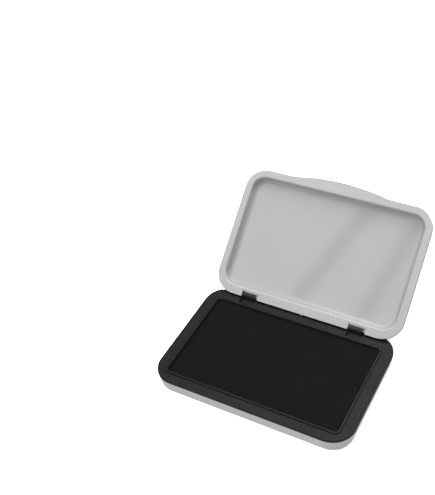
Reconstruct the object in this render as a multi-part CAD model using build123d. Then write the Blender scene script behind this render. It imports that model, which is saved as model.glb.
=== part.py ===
from build123d import *
from math import atan, cos, degrees, hypot, radians, sqrt, tan
import os

# Office stamp ink pad: drafted tray on four feet, snap-in pad frame with two hinge knuckles,
# cloth-covered felt on a backing plate, and a shallow lid that hinges on moulded trunnions.
# Millimetres. Origin: centre of the footprint on the plane the feet rest on. +Z is up,
# +X is to the right and +Y runs from the front edge to the hinge side. The lid is drawn
# closed and then swung back to its open stop, which is the rest pose.

os.makedirs("parts", exist_ok=True)

# ---- base outline
base_width = 112.0
base_depth = 75.6
corner_radius = 12.8

# ---- feet
foot_radius = 4.5
foot_proud = 1.0
foot_seat_depth = 0.6
foot_seat_gap = 0.1
foot_margin = 1.4
foot_round = 0.35

# ---- tray
tray_height = 7.3
tray_draft = 1.1
tray_wall = 2.2
tray_floor = 1.4
tray_bottom_round = 1.0
rib_height = 0.8
rib_width = 1.2
rib_end_gap = 8.0
rib_pitch_x = 32.0
rib_pitch_y = 18.0

# ---- pad frame
band_height = 1.3
frame_plate = 1.6
frame_gap = 0.15
frame_edge_round = 0.6
reveal = 0.2
spigot_wall = 1.3
opening_side_margin = 7.3
opening_front_margin = 6.4
opening_rear_margin = 10.0
opening_radius = 2.0
well_wall = 1.2
lip_width = 0.9
lip_height = 0.5
lip_round = 0.25
groove_width = 0.4
groove_depth = 0.3
hinge_strip_drop = 1.8
hinge_strip_end = 1.0

# ---- backing plate, felt and cloth
plate_thickness = 1.0
plate_gap = 0.2
cloth_thickness = 0.4
cloth_round = 0.9
cloth_hem = 2.6
pad_gap = 0.2
pad_sink = 1.2

# ---- snap lugs between frame and tray
lug_length = 8.0
lug_proud = 0.45
lug_height = 0.8
lug_lift = 1.0
lug_gap = 0.15
lug_spacing = 60.0

# ---- lid
lid_side_step = 0.2
lid_front_step = 0.1
lid_rear_step = 1.1
lid_corner_step = 0.5
lid_height = 6.6
lid_draft_deg = 3.0
lid_edge_round = 3.0
lid_rest_gap = 0.1
rim_round = 0.3
recess_side_margin = 4.0
recess_hinge_margin = 5.1
recess_front_margin = 4.1
recess_radius = 8.0
recess_depth = 5.0
recess_draft_deg = 10.0
recess_cove = 3.0
recess_mouth_round = 0.7
tab_height = 3.0
tab_half_width = 28.2
tab_blend = 25.0
nub_width = 0.6
nub_proud = 0.4
nub_drop = 0.4

# ---- hinge
open_angle = 140.0
axis_inset = 1.5
axis_lift = 1.2
trunnion_radius = 0.65
trunnion_grip = 1.8
bore_gap = 0.05
knuckle_wall = 0.7
knuckle_width = 8.5
knuckle_spacing = 64.5
knuckle_shift = -0.5
knuckle_side_gap = 0.75
notch_gap = 0.6
snap_slot = 1.15
swing_gap = 0.45
stop_gap = 0.1
pit_radius = 2.0
pit_gap = 0.1

# ---- levels
floor_z = foot_proud + tray_floor
plate_bottom_z = floor_z + rib_height
plate_top_z = plate_bottom_z + plate_thickness
well_bottom_z = plate_top_z + cloth_thickness
tray_rim_z = foot_proud + tray_height
frame_top_z = tray_rim_z + band_height
frame_under_z = frame_top_z - frame_plate
lip_top_z = frame_top_z + lip_height
pad_top_z = lip_top_z - pad_sink
strip_bottom_z = tray_rim_z - hinge_strip_drop
spigot_bottom_z = plate_bottom_z + plate_gap
rim_z = frame_top_z + lid_rest_gap
axis_z = rim_z + axis_lift

# ---- plan sizes and positions
rear_y = base_depth / 2
inner_width = base_width - 2 * tray_wall
inner_depth = base_depth - 2 * tray_wall
inner_radius = corner_radius - tray_wall
spigot_width = inner_width - 2 * frame_gap
spigot_depth = inner_depth - 2 * frame_gap
spigot_radius = inner_radius - frame_gap
opening_width = base_width - 2 * opening_side_margin
opening_depth = base_depth - opening_front_margin - opening_rear_margin
opening_y = (opening_front_margin - opening_rear_margin) / 2
opening_rear_y = opening_y + opening_depth / 2
lid_width = base_width - 2 * lid_side_step
lid_depth = base_depth - lid_front_step - lid_rear_step
lid_radius = corner_radius - lid_corner_step
hinge_edge_y = rear_y - lid_rear_step
lid_front_y = hinge_edge_y - lid_depth
lid_y = hinge_edge_y - lid_depth / 2
axis_y = hinge_edge_y - axis_inset
recess_width = lid_width - 2 * recess_side_margin
recess_length = lid_depth - recess_hinge_margin - recess_front_margin
recess_y = hinge_edge_y - recess_hinge_margin - recess_length / 2
lean = radians(180.0 - open_angle)
bore_radius = trunnion_radius + bore_gap
knuckle_radius = bore_radius + knuckle_wall
notch_width = knuckle_width + 2 * knuckle_side_gap
notch_depth = axis_inset + knuckle_radius + notch_gap
trough_radius = hypot(axis_inset, axis_lift) + swing_gap
trough_reach = (lid_width / 2 - lid_radius + hinge_strip_end
                + sqrt(lid_radius ** 2 - (lid_radius - axis_inset) ** 2))
strip_reach = trough_reach + hinge_strip_end


def slab(width, depth, radius, z0, z1, y=0.0):
    """Rounded rectangular plate between two levels."""
    return Pos(0, y, z0) * extrude(RectangleRounded(width, depth, radius), z1 - z0)


def block(x0, x1, y0, y1, z0, z1):
    """Box between opposite corners."""
    return Pos((x0 + x1) / 2, (y0 + y1) / 2, (z0 + z1) / 2) * Box(x1 - x0, y1 - y0, z1 - z0)


def rod(radius, x0, x1, y, z):
    """Cylinder along X."""
    return Pos((x0 + x1) / 2, y, z) * Rot(0, 90, 0) * Cylinder(radius, x1 - x0)


def disc(radius, x, y, z1):
    """Upright cylinder from the resting plane up to a level."""
    return Pos(x, y, 0) * Cylinder(radius, z1, align=(Align.CENTER, Align.CENTER, Align.MIN))


def top_edges(solid):
    return solid.faces().sort_by(Axis.Z)[-1].edges()


def bottom_edges(solid):
    return solid.faces().sort_by(Axis.Z)[0].edges()


# ---- feet: low rubber discs seated in round pockets, one in each corner
foot_step = (corner_radius - tray_draft - foot_margin - foot_radius) * sqrt(0.5)
foot_x = base_width / 2 - corner_radius + foot_step
foot_y = base_depth / 2 - corner_radius + foot_step
foot_places = {
    "foot_front_left": (-foot_x, -foot_y),
    "foot_front_right": (foot_x, -foot_y),
    "foot_rear_left": (-foot_x, foot_y),
    "foot_rear_right": (foot_x, foot_y),
}
foot_top_z = foot_proud + foot_seat_depth
feet = {}
for name, (x, y) in foot_places.items():
    foot = disc(foot_radius, x, y, foot_top_z)
    feet[name] = fillet(bottom_edges(foot), foot_round)

# ---- tray: drafted outside, straight inside, low ribs under the backing plate
draft_deg = degrees(atan(tray_draft / tray_height))
tray = Pos(0, 0, tray_rim_z) * extrude(
    RectangleRounded(base_width, base_depth, corner_radius), -tray_height, taper=draft_deg)
tray = fillet(bottom_edges(tray), tray_bottom_round)
tray = chamfer(top_edges(tray), reveal)
tray -= slab(inner_width, inner_depth, inner_radius, floor_z, tray_rim_z + 1)
rib_x = inner_width / 2 - rib_end_gap
rib_y = inner_depth / 2 - rib_end_gap
for step in (-1, 0, 1):
    y0 = step * rib_pitch_y - rib_width / 2
    x0 = step * rib_pitch_x - rib_width / 2
    tray += block(-rib_x, rib_x, y0, y0 + rib_width, foot_top_z, plate_bottom_z)
    tray += block(x0, x0 + rib_width, -rib_y, rib_y, foot_top_z, plate_bottom_z)
gate_reach = strip_reach + frame_gap
tray -= block(-gate_reach, gate_reach, 0, rear_y + 1, strip_bottom_z, tray_rim_z + 1)
for x, y in foot_places.values():
    tray -= disc(foot_radius + foot_seat_gap, x, y, foot_top_z)

# ---- pad frame: top band, spigot, thicker hinge strip, and well wall with a raised lip
frame = slab(base_width, base_depth, corner_radius, tray_rim_z, frame_top_z)
frame = fillet(top_edges(frame), frame_edge_round)
frame = chamfer(bottom_edges(frame), reveal)
joint_z = tray_rim_z + reveal
frame += slab(spigot_width, spigot_depth, spigot_radius, spigot_bottom_z, joint_z)
frame -= slab(spigot_width - 2 * spigot_wall, spigot_depth - 2 * spigot_wall, spigot_radius - spigot_wall,
              spigot_bottom_z - 1, frame_under_z)
strip = slab(base_width - 2 * frame_gap, base_depth - 2 * frame_gap, corner_radius - frame_gap,
             strip_bottom_z, joint_z)
frame += strip & block(-strip_reach, strip_reach, opening_rear_y, rear_y, strip_bottom_z, joint_z)
groove_out = lip_width + groove_width
groove_z = frame_top_z - groove_depth
frame -= slab(opening_width + 2 * groove_out, opening_depth + 2 * groove_out, opening_radius + groove_out,
              groove_z, lip_top_z, opening_y)
frame += slab(opening_width + 2 * well_wall, opening_depth + 2 * well_wall, opening_radius + well_wall,
              well_bottom_z, groove_z, opening_y)
lip = slab(opening_width + 2 * lip_width, opening_depth + 2 * lip_width, opening_radius + lip_width,
           well_bottom_z, lip_top_z, opening_y)
frame += fillet(top_edges(lip), lip_round)
frame -= slab(opening_width, opening_depth, opening_radius, 0, lip_top_z + 1, opening_y)

# hinge trough, then the knuckles standing in it, each with a rounded pit in front
knuckle_centres = [side * knuckle_spacing / 2 + knuckle_shift for side in (-1, 1)]
pit_y = axis_y - knuckle_radius - pit_gap - pit_radius
pit_z = frame_top_z - pit_gap
frame -= rod(trough_radius, -trough_reach, trough_reach, axis_y, axis_z)
for x in knuckle_centres:
    x0, x1 = x - knuckle_width / 2, x + knuckle_width / 2
    frame -= rod(pit_radius, x0, x1, pit_y, pit_z)
    frame += rod(knuckle_radius, x0, x1, axis_y, axis_z)
    frame += block(x0, x1, axis_y - knuckle_radius, axis_y + knuckle_radius, frame_under_z, axis_z)
    frame -= rod(bore_radius, x0 - 1, x1 + 1, axis_y, axis_z)
    frame -= block(x0 - 1, x1 + 1, axis_y, rear_y, axis_z - snap_slot / 2, axis_z + snap_slot / 2)

# snap lugs on the spigot and their pockets in the tray wall
lug_z = spigot_bottom_z + lug_lift
long_walls = [Pos(side * lug_spacing / 2, end * spigot_depth / 2, lug_z) for side in (-1, 1) for end in (-1, 1)]
short_walls = [Pos(end * spigot_width / 2, 0, lug_z) * Rot(0, 0, 90) for end in (-1, 1)]
lug = Box(lug_length, 2 * lug_proud, lug_height)
lug = chamfer(lug.edges().filter_by(Axis.X), lug_height / 3)
lug_pocket = Box(lug_length + 2 * lug_gap, 2 * (lug_proud + frame_gap + lug_gap), lug_height + 2 * lug_gap)
for place in long_walls + short_walls:
    frame += place * lug
    tray -= place * lug_pocket

# ---- backing plate, felt block and the cloth that wraps it, its hem held under the well wall
plate_inset = 2 * (spigot_wall + plate_gap)
backing_plate = slab(spigot_width - plate_inset, spigot_depth - plate_inset, spigot_radius - plate_inset / 2,
                     plate_bottom_z, plate_top_z)
felt = slab(opening_width - 2 * (pad_gap + cloth_thickness), opening_depth - 2 * (pad_gap + cloth_thickness),
            opening_radius - pad_gap - cloth_thickness, plate_top_z, pad_top_z - cloth_thickness, opening_y)
felt = fillet(top_edges(felt), cloth_round - cloth_thickness)
cloth = slab(opening_width - 2 * pad_gap, opening_depth - 2 * pad_gap, opening_radius - pad_gap,
             plate_top_z, pad_top_z, opening_y)
cloth = fillet(top_edges(cloth), cloth_round)
hem = slab(opening_width + 2 * cloth_hem, opening_depth + 2 * cloth_hem, opening_radius + cloth_hem,
           plate_top_z, well_bottom_z, opening_y)
cloth += hem & (Pos(0, 0, plate_thickness) * backing_plate)
cloth -= felt

# ---- lid, drawn closed: drafted shell with a front tab
lid_face = Pos(0, lid_y) * RectangleRounded(lid_width, lid_depth, lid_radius)
tab_radius = (tab_half_width ** 2 + tab_height ** 2) / (2 * tab_height)
tab_round = Pos(0, lid_front_y - tab_height + tab_radius) * Circle(tab_radius)
lid_face += tab_round & (Pos(0, lid_front_y) * Rectangle(3 * tab_half_width, 2 * tab_height + 1))
tab_ends = [v for v in lid_face.vertices()
            if abs(v.Y - lid_front_y) < 0.01 and abs(abs(v.X) - tab_half_width) < 0.01]
lid_face = fillet(tab_ends, tab_blend)
lid = Pos(0, 0, rim_z) * extrude(lid_face, lid_height, taper=lid_draft_deg)

# bevel along the hinge side: the face the lid leans back on
bevel_z = rim_z + axis_lift - axis_inset * tan(lean) + (axis_z - frame_top_z - stop_gap) / cos(lean)
bevel_out = lid_rear_step + 5.0
bevel_run = 3 * lid_height
bevel_foot = (hinge_edge_y + bevel_out, bevel_z - bevel_out * tan(lean))
bevel_head = (hinge_edge_y - bevel_run, bevel_z + bevel_run * tan(lean))
wedge = make_face(Polyline(bevel_foot, bevel_head, (bevel_foot[0], bevel_head[1]), close=True))
lid -= extrude(Plane.YZ * wedge, base_width, both=True)
lid = fillet(top_edges(lid), lid_edge_round)
lid = fillet(bottom_edges(lid), rim_round)

# recess with drafted walls, a cove round its floor and a softened mouth
recess = Pos(0, recess_y, rim_z) * extrude(
    RectangleRounded(recess_width, recess_length, recess_radius), recess_depth, taper=recess_draft_deg)
lid -= fillet(top_edges(recess), recess_cove)
lid = fillet(lid.faces().sort_by(Axis.Z)[0].inner_wires()[0].edges(), recess_mouth_round)

# notches for the knuckles, trunnions across them, and the small nub on the hinge edge
for x in knuckle_centres:
    x0 = x - knuckle_shift - notch_width / 2
    x1 = x0 + notch_width
    grip0 = x - knuckle_width / 2 + trunnion_grip
    grip1 = x + knuckle_width / 2 - trunnion_grip
    lid -= block(x0, x1, hinge_edge_y - notch_depth, hinge_edge_y + 1, rim_z - 1, rim_z + lid_height)
    lid += rod(trunnion_radius, x0 - trunnion_radius, grip0, axis_y, axis_z)
    lid += rod(trunnion_radius, grip1, x1 + trunnion_radius, axis_y, axis_z)
lid += block(-nub_width / 2, nub_width / 2, hinge_edge_y - nub_width, hinge_edge_y + nub_proud,
             rim_z + nub_drop, rim_z + nub_drop + nub_width)

# swing the lid back to its open stop
lid = lid.rotate(Axis((0, axis_y, axis_z), (1, 0, 0)), -open_angle)

parts = {
    "base_tray": tray,
    "pad_frame": frame,
    "backing_plate": backing_plate,
    "ink_felt": felt,
    "ink_cloth": cloth,
    "lid": lid,
    **feet,
}
for name, solid in parts.items():
    export_step(solid, f"parts/{name}.step")
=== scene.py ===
import math

import bmesh
import bpy
from mathutils import Matrix, Vector, noise


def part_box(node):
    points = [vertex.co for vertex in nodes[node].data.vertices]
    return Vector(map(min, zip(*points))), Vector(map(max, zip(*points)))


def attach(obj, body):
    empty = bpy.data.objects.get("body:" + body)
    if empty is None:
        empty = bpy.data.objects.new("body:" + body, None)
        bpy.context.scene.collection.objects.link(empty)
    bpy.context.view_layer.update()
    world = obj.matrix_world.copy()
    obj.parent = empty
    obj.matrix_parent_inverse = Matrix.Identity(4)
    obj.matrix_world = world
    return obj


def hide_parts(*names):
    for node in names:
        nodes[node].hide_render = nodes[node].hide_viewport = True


# Office stamp ink pad, open: light grey moulded shell, dark pad frame with two hinge knuckles,
# black inked cloth stretched over a felt block. Metres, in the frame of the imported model.

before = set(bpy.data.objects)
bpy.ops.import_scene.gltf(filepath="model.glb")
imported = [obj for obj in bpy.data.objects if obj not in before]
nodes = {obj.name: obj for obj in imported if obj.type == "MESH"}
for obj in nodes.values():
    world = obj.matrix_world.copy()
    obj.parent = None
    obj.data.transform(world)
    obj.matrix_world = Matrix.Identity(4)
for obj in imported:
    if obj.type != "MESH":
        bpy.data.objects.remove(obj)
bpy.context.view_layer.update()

MM = 0.001

# ---- real sizes used by the soft pieces and the materials
CLOTH_THICKNESS = 0.4 * MM
CLOTH_EDGE_ROUND = 0.9 * MM
CLOTH_CORNER = 1.8 * MM
CLOTH_HEM = 2.4 * MM
CLOTH_DIMPLE = 0.05 * MM
THREAD_PITCH = 0.42 * MM
THREAD_DRIFT = 0.16 * MM
FELT_CORNER = 1.4 * MM
FELT_EDGE_ROUND = 0.5 * MM
FELT_NAP = 0.04 * MM
GRID_STEP = 1.6 * MM

# ---- how the soft pieces are built up
CORNER_STEPS = 8
EDGE_STEPS = 5
CUT_SNAP = 1e-7
FELT_LUMP = 3.5 * MM
FELT_WALL_STEPS = 3
CLOTH_WIDE_WAVE = 11 * MM
CLOTH_FINE_WAVE = 4 * MM
CLOTH_WALL_STEPS = 4
CLOTH_HEM_STEPS = 3
HEM_TURN = [(0.1 * MM, 0.15 * MM), (0.15 * MM, 0.1 * MM)]
HEM_TURN_SIZE = 0.25 * MM
CLOTH_WALL_SHARE = 0.9

# ---- the lid's hollow at the open stop, and the depths below its opening where its finishes and its painted highlight change
LEAN = math.radians(40)
RECESS_MIDDLE = (0.0, 62.16 * MM, 35.09 * MM)
RECESS_ALONG = (0.0, math.cos(LEAN), math.sin(LEAN))
RECESS_INTO = (0.0, math.sin(LEAN), -math.cos(LEAN))
RECESS_HALF_WIDTH = 51.9 * MM
RECESS_HALF_LENGTH = 32.7 * MM
RECESS_DEPTH = 5.0 * MM
LID_RECESS = (RECESS_MIDDLE, RECESS_ALONG, RECESS_INTO,
              RECESS_HALF_WIDTH, RECESS_HALF_LENGTH, RECESS_DEPTH)
SIDE_FADE = 1.0 * MM
BELOW_FLOOR = (0.4 * MM, 0.9 * MM)
POLISH_STARTS = (2.4 * MM, 4.0 * MM)
MOUTH_STARTS = (0.03 * MM, 0.25 * MM)
MOUTH_ENDS = (0.7 * MM, 1.3 * MM)

# ---- studio, in metres and brightness
FLOOR_REACH = 3.0
BACKDROP_RADIUS = 1.5
BACKDROP_HEIGHT = 5.0
BACKDROP_GLOW = 0.9
KEY_BRIGHTNESS = 3.6
KEY_PLACE = (0.08, 0.38, 0.97)
KEY_AIM = (0.0, 0.03, 0.0)
KEY_SIZE = 0.8
FRONT_BRIGHTNESS = 1.9
FRONT_AIM = Vector((0.0055, 0.0694, 0.0346))
FRONT_WAY = Vector((-0.28853, -0.53045, 0.79710))
FRONT_DISTANCE = 1.1
FRONT_SIZE = 1.0
SEAM_WIDTH = 0.026
SEAM_GAP = 0.02
SEAMS = (("seam one", (0.007, -0.5), (0.006, 0.5)),
         ("seam two", (0.185, -0.5), (0.030, 0.5)))
FLOOR_WASH_BRIGHTNESS = 8.0
FLOOR_WASH_PLACE = (0.0, 0.0, 1.6)
FLOOR_WASH_SIZE = 2.5
AMBIENT = 0.16
BOUNCE = 0.82
HORIZON = 0.06


# ---------------------------------------------------------------- node helpers
class Finish:
    """One material's node tree, with short ways to add and join nodes."""

    def __init__(self, name):
        self.material = bpy.data.materials.new(name)
        self.material.use_nodes = True
        self.tree = self.material.node_tree
        self.shader = self.tree.nodes["Principled BSDF"]
        self.place = self.tree.nodes.new("ShaderNodeTexCoord").outputs["Object"]

    def node(self, kind, inputs=None, **settings):
        """Adds a node; inputs are numbers, colours or sockets to link."""
        made = self.tree.nodes.new(kind)
        for key, value in settings.items():
            setattr(made, key, value)
        for key, value in (inputs or {}).items():
            if isinstance(value, bpy.types.NodeSocket):
                self.tree.links.new(value, made.inputs[key])
            else:
                made.inputs[key].default_value = value
        return made

    def grain(self, size, detail=2.0, roughness=0.5, stretch=(1, 1, 1), where=None,
              distortion=0.0):
        """Soft noise whose lumps are about size across, in metres; 0 to 1."""
        spread = self.node("ShaderNodeMapping", {"Vector": where or self.place,
                                                 "Scale": [s / size for s in stretch]})
        return self.node("ShaderNodeTexNoise", {
            "Vector": spread.outputs[0], "Scale": 1.0, "Detail": detail,
            "Roughness": roughness, "Distortion": distortion}).outputs["Fac"]

    def cells(self, size):
        """Distance to the middle of the nearest cell, for cells about size across."""
        spread = self.node("ShaderNodeMapping", {"Vector": self.place, "Scale": [1 / size] * 3})
        return self.node("ShaderNodeTexVoronoi", {
            "Vector": spread.outputs[0], "Scale": 1.0}).outputs["Distance"]

    def calc(self, operation, a, b=0.0):
        """One step of arithmetic on sockets or numbers."""
        return self.node("ShaderNodeMath", {0: a, 1: b}, operation=operation).outputs[0]

    def span(self, value, low, high, to_low=0.0, to_high=1.0):
        """Maps low..high smoothly onto to_low..to_high."""
        return self.node("ShaderNodeMapRange", {
            "Value": value, "From Min": low, "From Max": high,
            "To Min": to_low, "To Max": to_high}, interpolation_type="SMOOTHSTEP").outputs[0]

    def tint(self, amount, a, b):
        """Colour a turning into colour b as amount goes from 0 to 1."""
        mixed = self.node("ShaderNodeMix", {"Factor": amount}, data_type="RGBA")
        for key, value in ((6, a), (7, b)):
            if isinstance(value, bpy.types.NodeSocket):
                self.tree.links.new(value, mixed.inputs[key])
            else:
                mixed.inputs[key].default_value = value
        return mixed.outputs[2]

    def set(self, **values):
        """Puts a value or a link on the shader's own sockets."""
        for key, value in values.items():
            socket = self.shader.inputs[key.replace("_", " ")]
            if isinstance(value, bpy.types.NodeSocket):
                self.tree.links.new(value, socket)
            else:
                socket.default_value = value

    def relief(self, layers):
        """Stacks bump layers, each (height, depth in metres, strength)."""
        normal = None
        for height, depth, strength in layers:
            bump = self.node("ShaderNodeBump", {
                "Height": height, "Distance": depth, "Strength": strength})
            if normal is not None:
                self.tree.links.new(normal, bump.inputs["Normal"])
            normal = bump.outputs[0]
        self.tree.links.new(normal, self.shader.inputs["Normal"])


def shade(grey, warm=0.0):
    """Linear colour of a grey, slightly warm or cool."""
    return (grey * (1 + warm), grey, grey * (1 - warm), 1.0)


# ---------------------------------------------------------------- finishes
def shell_plastic(name, recess=None):
    """Light grey moulding: fine spark texture, flow marks, hairline scuffs and paler edges,
    partly wear and partly a painted highlight.

    recess is the lid's hollow: its middle at the opening, its directions along and into the lid,
    and its half width, half length and depth. Its floor has a polish and is coloured darker than
    the rim; a band just inside its opening is rubbed shinier and coloured pale as a painted
    highlight."""
    f = Finish(name)
    spark = f.grain(0.30 * MM, detail=2.0, roughness=0.6)
    flow = f.grain(14 * MM, detail=3.0, distortion=0.6)
    cloud = f.grain(34 * MM, detail=1.0)
    scuff = f.span(f.grain(5 * MM, detail=4.0, stretch=(1, 14, 1), distortion=0.3), 0.70, 0.76)
    edge = f.node("ShaderNodeNewGeometry").outputs["Pointiness"]
    pale_edge = f.span(edge, 0.51, 0.56)
    mottle = f.grain(0.8 * MM, detail=2.0, roughness=0.7)
    base = f.tint(f.span(cloud, 0.3, 0.7), shade(0.615, 0.014), shade(0.645, 0.016))
    base = f.tint(f.calc("MULTIPLY", f.span(mottle, 0.38, 0.62), 0.6), base, shade(0.52, 0.016))
    base = f.tint(f.calc("MULTIPLY", f.span(spark, 0.35, 0.70), 0.35), base, shade(0.47, 0.014))
    # Sharp edges are painted paler: partly wear, partly a painted highlight along them.
    base = f.tint(f.calc("MULTIPLY", pale_edge, 0.6), base, shade(0.74, 0.012))
    base = f.tint(f.calc("MULTIPLY", scuff, 0.10), base, shade(0.60, 0.01))
    matte = f.calc("ADD", f.span(flow, 0.3, 0.7, 0.36, 0.44), f.calc("MULTIPLY", scuff, 0.08))
    matte = f.calc("SUBTRACT", matte, f.calc("MULTIPLY", pale_edge, 0.16))
    if recess is None:
        f.set(Base_Color=base, Roughness=matte, IOR=1.49)
        f.relief([(spark, 0.006 * MM, 0.45), (flow, 0.05 * MM, 0.12)])
        return f.material
    centre, along, into, half_width, half_length, floor_depth = recess
    offset = f.node("ShaderNodeVectorMath", {0: f.place, 1: centre},
                    operation="SUBTRACT").outputs[0]
    depth, side, run = (
        f.node("ShaderNodeVectorMath", {0: offset, 1: way},
               operation="DOT_PRODUCT").outputs["Value"]
        for way in (into, (1.0, 0.0, 0.0), along))
    within = f.span(depth, *(floor_depth + below for below in BELOW_FLOOR), 1.0, 0.0)
    for reach, half in ((side, half_width), (run, half_length)):
        beside = f.span(f.calc("ABSOLUTE", reach), half, half + SIDE_FADE, 1.0, 0.0)
        within = f.calc("MULTIPLY", within, beside)
    polished = f.calc("MULTIPLY", within, f.span(depth, *POLISH_STARTS))
    band = f.calc("MULTIPLY", f.span(depth, *MOUTH_STARTS), f.span(depth, *MOUTH_ENDS, 1.0, 0.0))
    mouth_shine_and_painted_highlight = f.calc("MULTIPLY", within, band)
    rub = f.span(f.grain(3 * MM, detail=4.0, distortion=0.8), 0.3, 0.7, 0.055, 0.085)
    # The hollow's floor is coloured darker than the rim.
    smooth = f.tint(f.span(cloud, 0.3, 0.7), shade(0.500, 0.012), shade(0.522, 0.010))
    # Painted highlight: the band just inside the hollow's opening is coloured pale; its lower
    # roughness on the next line is a real rubbed shine.
    base = f.tint(f.calc("MULTIPLY", mouth_shine_and_painted_highlight, 0.8), base, shade(0.82, 0.014))
    matte = f.calc("SUBTRACT", matte, f.calc("MULTIPLY", mouth_shine_and_painted_highlight, 0.14))
    f.set(Base_Color=f.tint(polished, base, smooth), Roughness=f.node("ShaderNodeMix", {
        0: polished, 2: matte, 3: rub}).outputs[0], IOR=1.49)
    rough_only = f.calc("MULTIPLY", spark, f.calc("SUBTRACT", 1.0, polished))
    f.relief([(rough_only, 0.006 * MM, 0.45), (flow, 0.02 * MM, 0.12)])
    return f.material


def frame_plastic():
    """Charcoal moulding with a fine matte spark-eroded grain and a little handling shine."""
    f = Finish("frame plastic")
    spark = f.grain(0.45 * MM, detail=3.0, roughness=0.65)
    pits = f.cells(0.35 * MM)
    cloud = f.grain(18 * MM, detail=2.0)
    handled = f.grain(26 * MM, detail=3.0, distortion=0.5)
    edge = f.node("ShaderNodeNewGeometry").outputs["Pointiness"]
    pale_edge = f.span(edge, 0.53, 0.62)
    mottle = f.grain(1.1 * MM, detail=2.0, roughness=0.6)
    base = f.tint(f.span(cloud, 0.3, 0.7), shade(0.0075), shade(0.0105))
    base = f.tint(f.calc("MULTIPLY", f.span(mottle, 0.35, 0.65), 0.6), base, shade(0.026))
    base = f.tint(f.calc("MULTIPLY", f.span(spark, 0.4, 0.7), 0.5), base, shade(0.026, -0.02))
    base = f.tint(f.calc("MULTIPLY", pale_edge, 0.3), base, shade(0.075))
    f.set(Base_Color=base, Roughness=f.span(handled, 0.3, 0.7, 0.42, 0.54), IOR=1.5,
          Specular_IOR_Level=0.22)
    f.relief([(spark, 0.012 * MM, 0.5), (pits, 0.008 * MM, 0.35)])
    return f.material


def inked_cloth_weave():
    """Plain-weave cotton soaked in black ink: crossing threads, slubs, damp and drier patches."""
    f = Finish("inked cloth weave")
    flat = f.node("ShaderNodeAttribute", attribute_name="flat_place").outputs["Vector"]
    drift = f.node("ShaderNodeCombineXYZ", {
        "X": f.calc("MULTIPLY", f.grain(9 * MM, where=flat), THREAD_DRIFT),
        "Y": f.calc("MULTIPLY", f.grain(7 * MM, where=flat, distortion=0.4), THREAD_DRIFT)})
    drifted = f.node("ShaderNodeVectorMath", {0: flat, 1: drift.outputs[0]},
                     operation="ADD").outputs[0]
    split = f.node("ShaderNodeSeparateXYZ", {0: drifted})
    turn = math.tau / THREAD_PITCH
    across = f.calc("SINE", f.calc("MULTIPLY", split.outputs[0], turn / 2))
    along = f.calc("SINE", f.calc("MULTIPLY", split.outputs[1], turn / 2))
    crossing = f.calc("MULTIPLY", across, along)
    warp = f.calc("MULTIPLY", f.calc("ABSOLUTE", across), f.span(crossing, -0.25, 0.25))
    weft = f.calc("MULTIPLY", f.calc("ABSOLUTE", along), f.span(crossing, 0.25, -0.25))
    thread = f.calc("MAXIMUM", warp, weft)
    slub = f.grain(1.2 * MM, detail=2.0, stretch=(1, 4, 1), where=flat)
    damp = f.grain(16 * MM, detail=3.0, where=flat)
    base = f.tint(thread, shade(0.0030), shade(0.0090))
    base = f.tint(f.calc("MULTIPLY", f.span(damp, 0.35, 0.75), 0.5), base, shade(0.0065, -0.02))
    base = f.tint(f.calc("MULTIPLY", f.span(slub, 0.55, 0.75), 0.3), base, shade(0.016))
    f.set(Base_Color=base, Roughness=f.span(damp, 0.3, 0.7, 0.72, 0.58), Sheen_Weight=0.03,
          Sheen_Roughness=0.45, IOR=1.40, Specular_IOR_Level=0.13)
    f.relief([(thread, 0.09 * MM, 0.6), (slub, 0.03 * MM, 0.4)])
    return f.material


def felt_fibres():
    """Pressed wool felt soaked in ink: tangled fibres and a soft nap."""
    f = Finish("felt fibres")
    tangle = f.grain(0.5 * MM, detail=5.0, roughness=0.7, distortion=1.5)
    strands = f.grain(0.3 * MM, detail=4.0, stretch=(1, 5, 5), distortion=2.0)
    soak = f.grain(12 * MM, detail=2.0)
    base = f.tint(f.span(tangle, 0.35, 0.7), shade(0.006), shade(0.022))
    base = f.tint(f.calc("MULTIPLY", f.span(soak, 0.3, 0.7), 0.5), base, shade(0.008))
    f.set(Base_Color=base, Roughness=f.span(strands, 0.3, 0.7, 0.80, 0.95), Sheen_Weight=0.3,
          Sheen_Roughness=0.6)
    f.relief([(tangle, 0.2 * MM, 0.6), (strands, 0.08 * MM, 0.5)])
    return f.material


def plate_board():
    """Dull grey backing plate with rolling lines and ink that has crept in from the felt."""
    f = Finish("backing plate board")
    lines = f.grain(1.5 * MM, detail=3.0, stretch=(0.08, 1, 1))
    stain = f.grain(11 * MM, detail=3.0, distortion=0.8)
    base = f.tint(f.span(lines, 0.35, 0.65), shade(0.15), shade(0.21))
    base = f.tint(f.span(stain, 0.52, 0.70), base, shade(0.02, -0.03))
    f.set(Base_Color=base, Roughness=f.span(lines, 0.3, 0.7, 0.45, 0.62))
    f.relief([(lines, 0.02 * MM, 0.4)])
    return f.material


def foot_rubber():
    """Grey elastomer foot: matte, dusty at the rim, with a fine moulded grain."""
    f = Finish("foot rubber")
    grain = f.grain(0.2 * MM, detail=3.0)
    dust = f.grain(2.2 * MM, detail=3.0)
    base = f.tint(f.span(dust, 0.4, 0.7), shade(0.20, 0.01), shade(0.30, 0.02))
    f.set(Base_Color=base, Roughness=f.span(grain, 0.3, 0.7, 0.68, 0.82), IOR=1.5)
    f.relief([(grain, 0.02 * MM, 0.5)])
    return f.material


def floor_paper():
    """Matte white sweep paper."""
    f = Finish("sweep paper")
    tooth = f.grain(0.8 * MM, detail=3.0)
    tone = f.grain(300 * MM, detail=1.0)
    f.set(Base_Color=f.tint(f.span(tone, 0.3, 0.7), shade(0.93), shade(0.95)), Roughness=0.95,
          Specular_IOR_Level=0.1)
    f.relief([(tooth, 0.02 * MM, 0.2)])
    return f.material


# ---------------------------------------------------------------- soft pieces
def outward(point, core):
    """Direction from the straight-sided core of a rounded outline out to a point on its edge."""
    near = Vector((max(-core[0], min(core[0], point.x)), max(-core[1], min(core[1], point.y))))
    away = Vector((point.x, point.y)) - near
    return away.normalized() if away.length > 1e-9 else Vector((0.0, 0.0))


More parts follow.
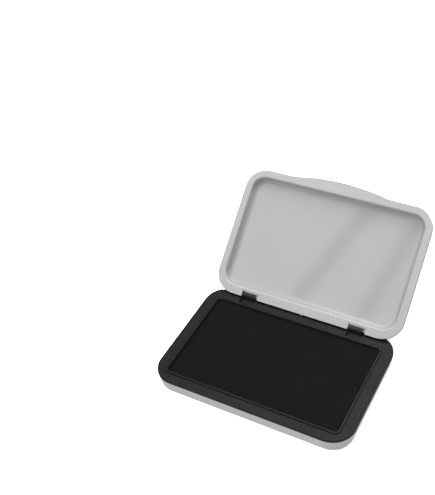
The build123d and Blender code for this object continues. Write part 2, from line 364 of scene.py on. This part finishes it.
def rounded_face(bm, half_x, half_y, corner, z):
    """Flat rounded rectangle, sliced into a fine even grid of faces."""
    ring = [bm.verts.new((sx * half_x, sy * half_y, z))
            for sx, sy in ((-1, -1), (1, -1), (1, 1), (-1, 1))]
    bm.faces.new(ring)
    bmesh.ops.bevel(bm, geom=ring, offset=corner, segments=CORNER_STEPS, profile=0.5,
                    affect="VERTICES", material=-1)
    for axis, half in ((0, half_x), (1, half_y)):
        normal = Vector((axis == 0, axis == 1, 0))
        straight = half - corner
        count = max(2, round(2 * straight / GRID_STEP))
        for i in range(count + 1):
            cut = normal * (-straight + 2 * straight * i / count)
            bmesh.ops.bisect_plane(bm, geom=bm.verts[:] + bm.edges[:] + bm.faces[:],
                                   dist=CUT_SNAP, plane_co=cut, plane_no=normal)


def skirt(bm, core, profile, flat_place=None):
    """Grows the open rim of a sheet along (out, down) steps.

    Where flat_place is given, each point keeps its place on the sheet before it was shaped."""
    for out, down in profile:
        rim = [e for e in bm.edges if e.is_boundary]
        grown = bmesh.ops.extrude_edge_only(bm, edges=rim)["geom"]
        for v in (g for g in grown if isinstance(g, bmesh.types.BMVert)):
            way = outward(v.co, core)
            v.co += Vector((way.x * out, way.y * out, -down))
            if flat_place is not None:
                v[flat_place] += Vector((way.x, way.y, 0)) * math.hypot(out, down)


def quarter_round(radius):
    """The (out, down) steps of a rounded edge."""
    angles = [math.pi / 2 * i / EDGE_STEPS for i in range(EDGE_STEPS + 1)]
    turn = [(math.sin(angle), 1 - math.cos(angle)) for angle in angles]
    return [((b[0] - a[0]) * radius, (b[1] - a[1]) * radius) for a, b in zip(turn, turn[1:])]


def finished(bm, name, material, body):
    """Turns a bmesh into a smooth-shaded piece that rides on a body."""
    bmesh.ops.recalc_face_normals(bm, faces=bm.faces[:])
    mesh = bpy.data.meshes.new(name)
    bm.to_mesh(mesh)
    bm.free()
    mesh.shade_smooth()
    mesh.materials.append(material)
    piece = bpy.data.objects.new(name, mesh)
    bpy.context.scene.collection.objects.link(piece)
    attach(piece, body)
    return piece


def unevenness(x, y, lump, layer):
    """Smooth noise over a flat place, about -1 to 1; each layer number gives its own pattern."""
    return noise.noise(Vector((x / lump, y / lump, layer)))


def make_felt_block():
    """Felt block with softened edges and a slightly uneven top."""
    low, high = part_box("ink_felt")
    middle = (low + high) / 2
    half_x, half_y = (high.x - low.x) / 2, (high.y - low.y) / 2
    core = (half_x - FELT_CORNER, half_y - FELT_CORNER)
    bm = bmesh.new()
    rounded_face(bm, half_x - FELT_EDGE_ROUND, half_y - FELT_EDGE_ROUND,
                 FELT_CORNER - FELT_EDGE_ROUND, high.z)
    for v in bm.verts:
        v.co.z -= FELT_NAP * (0.5 + 0.5 * unevenness(v.co.x, v.co.y, FELT_LUMP, 4.0))
    wall_step = (high.z - low.z - FELT_EDGE_ROUND) / FELT_WALL_STEPS
    skirt(bm, core, quarter_round(FELT_EDGE_ROUND) + [(0, wall_step)] * FELT_WALL_STEPS)
    rim = [e for e in bm.edges if e.is_boundary]
    bmesh.ops.holes_fill(bm, edges=rim)
    bmesh.ops.translate(bm, verts=bm.verts[:], vec=(middle.x, middle.y, 0))
    felt = finished(bm, "felt_block", felt_fibres(), "base")
    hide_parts("ink_felt")


def make_ink_cloth():
    """Cotton sheet stretched over the felt, down into the well and out into a flat hem."""
    low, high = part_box("ink_cloth")
    felt_low, felt_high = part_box("ink_felt")
    middle = (felt_low + felt_high) / 2
    half_x = (felt_high.x - felt_low.x) / 2 + CLOTH_THICKNESS
    half_y = (felt_high.y - felt_low.y) / 2 + CLOTH_THICKNESS
    core = (half_x - CLOTH_CORNER, half_y - CLOTH_CORNER)
    bm = bmesh.new()
    flat_place = bm.verts.layers.float_vector.new("flat_place")
    rounded_face(bm, half_x - CLOTH_EDGE_ROUND, half_y - CLOTH_EDGE_ROUND,
                 CLOTH_CORNER - CLOTH_EDGE_ROUND, high.z)
    for v in bm.verts:
        v[flat_place] = Vector((v.co.x, v.co.y, 0))
        wide = unevenness(v.co.x, v.co.y, CLOTH_WIDE_WAVE, 1.0)
        fine = unevenness(v.co.x, v.co.y, CLOTH_FINE_WAVE, 2.0)
        v.co.z -= CLOTH_DIMPLE * (0.5 + 0.5 * (wide * 0.6 + fine * 0.4))
    down = high.z - low.z - CLOTH_EDGE_ROUND - CLOTH_THICKNESS
    wall = [(0, (down - HEM_TURN_SIZE) / CLOTH_WALL_STEPS)] * CLOTH_WALL_STEPS
    hem = [((CLOTH_HEM - HEM_TURN_SIZE) / CLOTH_HEM_STEPS, 0)] * CLOTH_HEM_STEPS
    skirt(bm, core, quarter_round(CLOTH_EDGE_ROUND) + wall + HEM_TURN + hem, flat_place)
    bmesh.ops.translate(bm, verts=bm.verts[:], vec=(middle.x, middle.y, 0))
    cloth = finished(bm, "stretched_ink_cloth", inked_cloth_weave(), "base")
    thick = cloth.modifiers.new("cloth thickness", "SOLIDIFY")
    thick.thickness = CLOTH_THICKNESS * CLOTH_WALL_SHARE
    thick.offset = -1.0
    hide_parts("ink_cloth")


make_felt_block()
make_ink_cloth()

# ---------------------------------------------------------------- finishes on the moulded pieces
rubber = foot_rubber()
finish_of = {
    "base_tray": shell_plastic("tray plastic"),
    "lid": shell_plastic("lid plastic", LID_RECESS),
    "pad_frame": frame_plastic(),
    "backing_plate": plate_board(),
    "foot_front_left": rubber,
    "foot_front_right": rubber,
    "foot_rear_left": rubber,
    "foot_rear_right": rubber,
}
for name, material in finish_of.items():
    for held in nodes[name].material_slots:
        held.material = material


# ---------------------------------------------------------------- floor, light, camera
def stage_mesh(name, bm, material):
    """Turns a bmesh into a part of the studio."""
    mesh = bpy.data.meshes.new(name)
    bm.to_mesh(mesh)
    bm.free()
    mesh.materials.append(material)
    made = bpy.data.objects.new(name, mesh)
    bpy.context.scene.collection.objects.link(made)
    return made


def make_floor():
    """White floor that gives no light back to the object; the world light stands in for that."""
    bm = bmesh.new()
    bmesh.ops.create_grid(bm, x_segments=2, y_segments=2, size=FLOOR_REACH)
    floor = stage_mesh("sweep", bm, floor_paper())
    floor.visible_glossy = False
    floor.visible_diffuse = False
    return floor


def make_backdrop():
    """Round white wall far behind the floor, there only to be looked at."""
    bm = bmesh.new()
    bmesh.ops.create_cone(bm, segments=64, radius1=BACKDROP_RADIUS, radius2=BACKDROP_RADIUS,
                          depth=BACKDROP_HEIGHT, cap_ends=False)
    f = Finish("backdrop white")
    f.set(Base_Color=shade(0.9), Roughness=1.0, Emission_Color=(1, 1, 1, 1),
          Emission_Strength=BACKDROP_GLOW)
    wall = stage_mesh("backdrop", bm, f.material)
    wall.visible_glossy = False
    wall.visible_diffuse = False
    wall.visible_shadow = False


def softbox(name, place, aim, size, radiance):
    """Square soft light of a given brightness; returns the lamp."""
    light = bpy.data.lights.new(name, "AREA")
    light.shape = "SQUARE"
    light.size = size
    light.energy = radiance * math.pi * size ** 2
    lamp = bpy.data.objects.new(name, light)
    lamp.location = place
    lamp.rotation_euler = (Vector(aim) - Vector(place)).to_track_quat("-Z", "Y").to_euler()
    bpy.context.scene.collection.objects.link(lamp)
    return lamp


def seam_strip(name, middle, across, along, low_end, high_end):
    """Narrow black strip in front of a softbox, where two of its panels meet."""
    start, end = (middle + across * u + along * v for u, v in (low_end, high_end))
    run = (end - start).normalized()
    side = run.cross(across.cross(along)).normalized() * SEAM_WIDTH / 2
    bm = bmesh.new()
    corners = [bm.verts.new(p) for p in (start - side, start + side, end + side, end - side)]
    bm.faces.new(corners)
    f = Finish(name)
    f.set(Base_Color=shade(0.01), Roughness=1.0)
    strip = stage_mesh(name, bm, f.material)
    strip.visible_camera = False
    strip.visible_diffuse = False
    strip.visible_shadow = False


floor = make_floor()
make_backdrop()
softbox("overhead", KEY_PLACE, KEY_AIM, KEY_SIZE, KEY_BRIGHTNESS)

# The front softbox hangs where the open lid mirrors it; its panels meet at two dark seams.
front_place = FRONT_AIM + FRONT_WAY * FRONT_DISTANCE
front_across = Vector((0, 0, 1)).cross(FRONT_WAY).normalized()
front_along = FRONT_WAY.cross(front_across)
softbox("front", front_place, FRONT_AIM, FRONT_SIZE, FRONT_BRIGHTNESS)
seam_middle = front_place - FRONT_WAY * SEAM_GAP
for name, low_end, high_end in SEAMS:
    seam_strip(name, seam_middle, front_across, front_along, low_end, high_end)

floor_wash = softbox("floor wash", FLOOR_WASH_PLACE, (0.0, 0.0, 0.0), FLOOR_WASH_SIZE,
                     FLOOR_WASH_BRIGHTNESS)
only_floor = bpy.data.collections.new("only floor")
only_floor.objects.link(floor)
floor_wash.light_linking.receiver_collection = only_floor

world = bpy.data.worlds.new("studio")
world.use_nodes = True
sky = world.node_tree
way = sky.nodes.new("ShaderNodeTexCoord").outputs["Generated"]
height = sky.nodes.new("ShaderNodeSeparateXYZ")
sky.links.new(way, height.inputs[0])
level = sky.nodes.new("ShaderNodeMapRange")
sky.links.new(height.outputs[2], level.inputs["Value"])
for key, value in (("From Min", -HORIZON), ("From Max", HORIZON),
                   ("To Min", BOUNCE), ("To Max", AMBIENT)):
    level.inputs[key].default_value = value
sky.links.new(level.outputs[0], sky.nodes["Background"].inputs["Strength"])
sky.nodes["Background"].inputs["Color"].default_value = (1, 1, 1, 1)
bpy.context.scene.world = world
bpy.context.scene.view_settings.view_transform = "Standard"

CAMERA_PLACE = (0.146527, -0.269256, 0.357586)
CAMERA_RIGHT = (0.87551044, 0.47507111, -0.08825481)
CAMERA_UP = (-0.25620261, 0.61126452, 0.74880967)
CAMERA_BACK = (0.40968487, -0.63297957, 0.65688292)
SENSOR = 36.0
LENS = 62.948

view = bpy.data.cameras.new("camera")
view.sensor_width = SENSOR
view.lens = LENS
view.clip_start = 0.01
camera = bpy.data.objects.new("camera", view)
camera.matrix_world = Matrix.Translation(CAMERA_PLACE) @ Matrix(
    (CAMERA_RIGHT, CAMERA_UP, CAMERA_BACK)).transposed().to_4x4()
bpy.context.scene.collection.objects.link(camera)
bpy.context.scene.camera = camera
